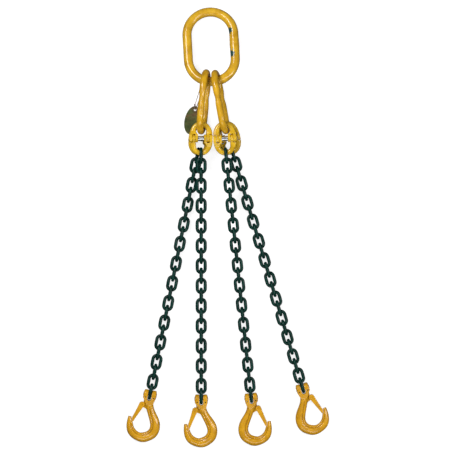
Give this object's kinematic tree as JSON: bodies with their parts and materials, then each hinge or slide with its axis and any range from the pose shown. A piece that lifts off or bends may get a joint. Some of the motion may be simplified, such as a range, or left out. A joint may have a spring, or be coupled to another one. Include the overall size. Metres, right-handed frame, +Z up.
{
  "type": "chain sling",
  "caption": "Chain sling laid flat: oval master link, two intermediate links and fanned chain legs that end in clevis hooks with safety latches.",
  "frame": {"origin": "the seat inside the crown of the master link, where the crane hook pulls", "axes": "+Y along the pull of the crane hook, so the legs lie towards -Y; +Z up from the floor that the sling is laid on"},
  "size_m": [0.4853, 1.0532, 0.0923],
  "materials": {
    "yellow_paint": "gloss golden yellow enamel",
    "hook_paint": "gloss golden yellow enamel",
    "coupling_paint": "gloss lemon yellow powder coat",
    "chain_paint": "dark blue-green paint over forged steel",
    "bright_steel": "zinc plated",
    "dark_steel": "blackened spring steel",
    "tag_paint": "dark olive green, worn",
    "tag_wire": "dull brown annealed wire"
  },
  "bodies": {
    "master": {"master_link": "yellow_paint"},
    "sub_left": {"sub_link_left": "yellow_paint"},
    "sub_right": {"sub_link_right": "yellow_paint"},
    "coupling_1_upper": {"coupling_1_upper_half": "coupling_paint", "coupling_1_load_pin": "bright_steel", "coupling_1_sleeve": "bright_steel"},
    "coupling_1_lower": {"coupling_1_lower_half": "coupling_paint"},
    "leg_1_upper": {"chain_1_upper": "chain_paint"},
    "leg_1_middle": {"chain_1_middle": "chain_paint"},
    "leg_1_lower": {"chain_1_lower": "chain_paint"},
    "hook_1": {"hook_1_body": "hook_paint", "hook_1_load_pin": "bright_steel", "hook_1_retaining_pins": "dark_steel", "hook_1_latch_pin": "hook_paint", "hook_1_latch_spring": "bright_steel"},
    "latch_1": {"hook_1_latch": "hook_paint"},
    "coupling_2_upper": {"coupling_2_upper_half": "coupling_paint", "coupling_2_load_pin": "bright_steel", "coupling_2_sleeve": "bright_steel"},
    "coupling_2_lower": {"coupling_2_lower_half": "coupling_paint"},
    "leg_2_upper": {"chain_2_upper": "chain_paint"},
    "leg_2_middle": {"chain_2_middle": "chain_paint"},
    "leg_2_lower": {"chain_2_lower": "chain_paint"},
    "hook_2": {"hook_2_body": "hook_paint", "hook_2_load_pin": "bright_steel", "hook_2_retaining_pins": "dark_steel", "hook_2_latch_pin": "hook_paint", "hook_2_latch_spring": "bright_steel"},
    "latch_2": {"hook_2_latch": "hook_paint"},
    "coupling_3_upper": {"coupling_3_upper_half": "coupling_paint", "coupling_3_load_pin": "bright_steel", "coupling_3_sleeve": "bright_steel"},
    "coupling_3_lower": {"coupling_3_lower_half": "coupling_paint"},
    "leg_3_upper": {"chain_3_upper": "chain_paint"},
    "leg_3_middle": {"chain_3_middle": "chain_paint"},
    "leg_3_lower": {"chain_3_lower": "chain_paint"},
    "hook_3": {"hook_3_body": "hook_paint", "hook_3_load_pin": "bright_steel", "hook_3_retaining_pins": "dark_steel", "hook_3_latch_pin": "hook_paint", "hook_3_latch_spring": "bright_steel"},
    "latch_3": {"hook_3_latch": "hook_paint"},
    "coupling_4_upper": {"coupling_4_upper_half": "coupling_paint", "coupling_4_load_pin": "bright_steel", "coupling_4_sleeve": "bright_steel"},
    "coupling_4_lower": {"coupling_4_lower_half": "coupling_paint"},
    "leg_4_upper": {"chain_4_upper": "chain_paint"},
    "leg_4_middle": {"chain_4_middle": "chain_paint"},
    "leg_4_lower": {"chain_4_lower": "chain_paint"},
    "hook_4": {"hook_4_body": "hook_paint", "hook_4_load_pin": "bright_steel", "hook_4_retaining_pins": "dark_steel", "hook_4_latch_pin": "hook_paint", "hook_4_latch_spring": "bright_steel"},
    "latch_4": {"hook_4_latch": "hook_paint"},
    "tag_wire": {"tag_wire": "tag_wire", "tag_crimp": "tag_wire"},
    "tag": {"tag_plate": "tag_paint"}
  },
  "joints": [
    {"name": "sub_link_left_fold", "type": "hinge", "parent": "master", "child": "sub_left", "pos_m": [-0.01127, -0.15549, 0.03283], "axis": [-0.9646, 0.2552, -0.0662], "range_deg": [-30, 90]},
    {"name": "sub_link_right_fold", "type": "hinge", "parent": "master", "child": "sub_right", "pos_m": [0.01505, -0.15618, 0.0333], "axis": [0.9783, 0.2047, -0.0311], "range_deg": [-30, 90]},
    {"name": "leg_1_coupling_swing", "type": "hinge", "parent": "sub_left", "child": "coupling_1_upper", "pos_m": [-0.0196, -0.27114, 0.01502], "axis": [0.1498, 0.4604, -0.875], "range_deg": [-2.5, 30]},
    {"name": "leg_1_coupling_fold", "type": "hinge", "parent": "coupling_1_upper", "child": "coupling_1_lower", "pos_m": [-0.02445, -0.29286, 0.01853], "axis": [-0.989, 0.1478, 0], "range_deg": [-80, 3]},
    {"name": "leg_1_chain_swing", "type": "hinge", "parent": "coupling_1_lower", "child": "leg_1_upper", "pos_m": [-0.02813, -0.31744, 0.01432], "axis": [0.0271, 0.1368, -0.9902], "range_deg": [-2.5, 45]},
    {"name": "leg_1_chain_fold", "type": "hinge", "parent": "leg_1_upper", "child": "leg_1_middle", "pos_m": [-0.06689, -0.51323, 0.00042], "axis": [-0.981, 0.1942, 0], "range_deg": [-60, 60]},
    {"name": "leg_1_chain_sway", "type": "hinge", "parent": "leg_1_middle", "child": "leg_1_lower", "pos_m": [-0.10885, -0.72511, 0.00042], "axis": [0, 0, -1], "range_deg": [-7, 60]},
    {"name": "hook_1_swing", "type": "hinge", "parent": "leg_1_lower", "child": "hook_1", "pos_m": [-0.14443, -0.90483, 0.00042], "axis": [-0.981, 0.1942, 0], "range_deg": [-70, 70]},
    {"name": "hook_1_latch_turn", "type": "hinge", "parent": "hook_1", "child": "latch_1", "pos_m": [-0.16396, -0.92826, -0.00059], "axis": [-0.0073, -0.0368, 0.9993], "range_deg": [0, 30], "stiffness_Nm_per_rad": 0.05, "springref_deg": -20.05},
    {"name": "leg_2_coupling_swing", "type": "hinge", "parent": "sub_left", "child": "coupling_2_upper", "pos_m": [-0.02395, -0.27074, 0.05063], "axis": [0.0642, -0.4799, -0.875], "range_deg": [-1.5, 2.5]},
    {"name": "leg_2_coupling_fold", "type": "hinge", "parent": "coupling_2_upper", "child": "coupling_2_lower", "pos_m": [-0.02194, -0.29315, 0.04467], "axis": [-1, 0, 0], "range_deg": [-3, 80]},
    {"name": "leg_2_chain_swing", "type": "hinge", "parent": "coupling_2_lower", "child": "leg_2_upper", "pos_m": [-0.02194, -0.3181, 0.04111], "axis": [0, 0.1336, -0.991], "range_deg": [-3.5, 2.5]},
    {"name": "leg_2_chain_fold", "type": "hinge", "parent": "leg_2_upper", "child": "leg_2_middle", "pos_m": [-0.02194, -0.51707, 0.01826], "axis": [-1, 0, 0], "range_deg": [-60, 60]},
    {"name": "leg_2_chain_sway", "type": "hinge", "parent": "leg_2_middle", "child": "leg_2_lower", "pos_m": [-0.02194, -0.73258, 0.00398], "axis": [0, 0.0446, -0.999], "range_deg": [-9, 7]},
    {"name": "hook_2_swing", "type": "hinge", "parent": "leg_2_lower", "child": "hook_2", "pos_m": [-0.02194, -0.91573, 0.00042], "axis": [-1, 0, 0], "range_deg": [-70, 70]},
    {"name": "hook_2_latch_turn", "type": "hinge", "parent": "hook_2", "child": "latch_2", "pos_m": [-0.03654, -0.94251, -0.00059], "axis": [0, -0.0376, 0.9993], "range_deg": [0, 30], "stiffness_Nm_per_rad": 0.05, "springref_deg": -20.05},
    {"name": "leg_3_coupling_swing", "type": "hinge", "parent": "sub_right", "child": "coupling_3_upper", "pos_m": [0.03388, -0.27086, 0.05111], "axis": [-0.1909, 0.445, 0.875], "range_deg": [-1.5, 3]},
    {"name": "leg_3_coupling_fold", "type": "hinge", "parent": "coupling_3_upper", "child": "coupling_3_lower", "pos_m": [0.03452, -0.29313, 0.04514], "axis": [-0.9981, -0.061, 0], "range_deg": [-3, 80]},
    {"name": "leg_3_chain_swing", "type": "hinge", "parent": "coupling_3_lower", "child": "leg_3_upper", "pos_m": [0.03604, -0.31803, 0.04154], "axis": [0.0139, -0.1343, 0.9908], "range_deg": [-3.5, 3]},
    {"name": "leg_3_chain_fold", "type": "hinge", "parent": "leg_3_upper", "child": "leg_3_middle", "pos_m": [0.05649, -0.51592, 0.01845], "axis": [-0.9947, -0.1028, 0], "range_deg": [-60, 60]},
    {"name": "leg_3_chain_sway", "type": "hinge", "parent": "leg_3_middle", "child": "leg_3_lower", "pos_m": [0.07865, -0.73027, 0.00402], "axis": [0.0046, -0.0449, 0.999], "range_deg": [-9, 8]},
    {"name": "hook_3_swing", "type": "hinge", "parent": "leg_3_lower", "child": "hook_3", "pos_m": [0.09747, -0.91245, 0.00042], "axis": [-0.9947, -0.1028, 0], "range_deg": [-70, 70]},
    {"name": "hook_3_latch_turn", "type": "hinge", "parent": "hook_3", "child": "latch_3", "pos_m": [0.11475, -0.93759, -0.00059], "axis": [-0.0039, 0.0374, -0.9993], "range_deg": [0, 30], "stiffness_Nm_per_rad": 0.05, "springref_deg": -20.05},
    {"name": "leg_4_coupling_swing", "type": "hinge", "parent": "sub_right", "child": "coupling_4_upper", "pos_m": [0.03818, -0.27007, 0.0155], "axis": [-0.0204, -0.4837, 0.875], "range_deg": [-3, 30]},
    {"name": "leg_4_coupling_fold", "type": "hinge", "parent": "coupling_4_upper", "child": "coupling_4_lower", "pos_m": [0.04379, -0.29145, 0.01901], "axis": [-0.9681, -0.2504, 0], "range_deg": [-80, 3]},
    {"name": "leg_4_chain_swing", "type": "hinge", "parent": "coupling_4_lower", "child": "leg_4_upper", "pos_m": [0.05001, -0.31548, 0.01468], "axis": [0.0408, -0.1372, 0.9897], "range_deg": [-3, 45]},
    {"name": "leg_4_chain_fold", "type": "hinge", "parent": "leg_4_upper", "child": "leg_4_middle", "pos_m": [0.10685, -0.50677, 0.00042], "axis": [-0.9586, -0.2849, 0], "range_deg": [-60, 60]},
    {"name": "leg_4_chain_sway", "type": "hinge", "parent": "leg_4_middle", "child": "leg_4_lower", "pos_m": [0.16838, -0.71383, 0.00042], "axis": [0, 0, 1], "range_deg": [-8, 60]},
    {"name": "hook_4_swing", "type": "hinge", "parent": "leg_4_lower", "child": "hook_4", "pos_m": [0.22057, -0.88944, 0.00042], "axis": [-0.9586, -0.2849, 0], "range_deg": [-70, 70]},
    {"name": "hook_4_latch_turn", "type": "hinge", "parent": "hook_4", "child": "latch_4", "pos_m": [0.24219, -0.91095, -0.00059], "axis": [-0.0107, 0.036, -0.9993], "range_deg": [0, 30], "stiffness_Nm_per_rad": 0.05, "springref_deg": -20.05},
    {"name": "tag_wire_swing", "type": "hinge", "parent": "sub_left", "child": "tag_wire", "pos_m": [-0.00725, -0.15645, -0.00048], "axis": [-0.023, -0.8845, -0.466], "range_deg": [0, 50]},
    {"name": "tag_flap", "type": "hinge", "parent": "tag_wire", "child": "tag", "pos_m": [-0.0368, -0.2231, -0.00748], "axis": [-0.9711, 0.2385, 0], "range_deg": [0, 12]}
  ]
}
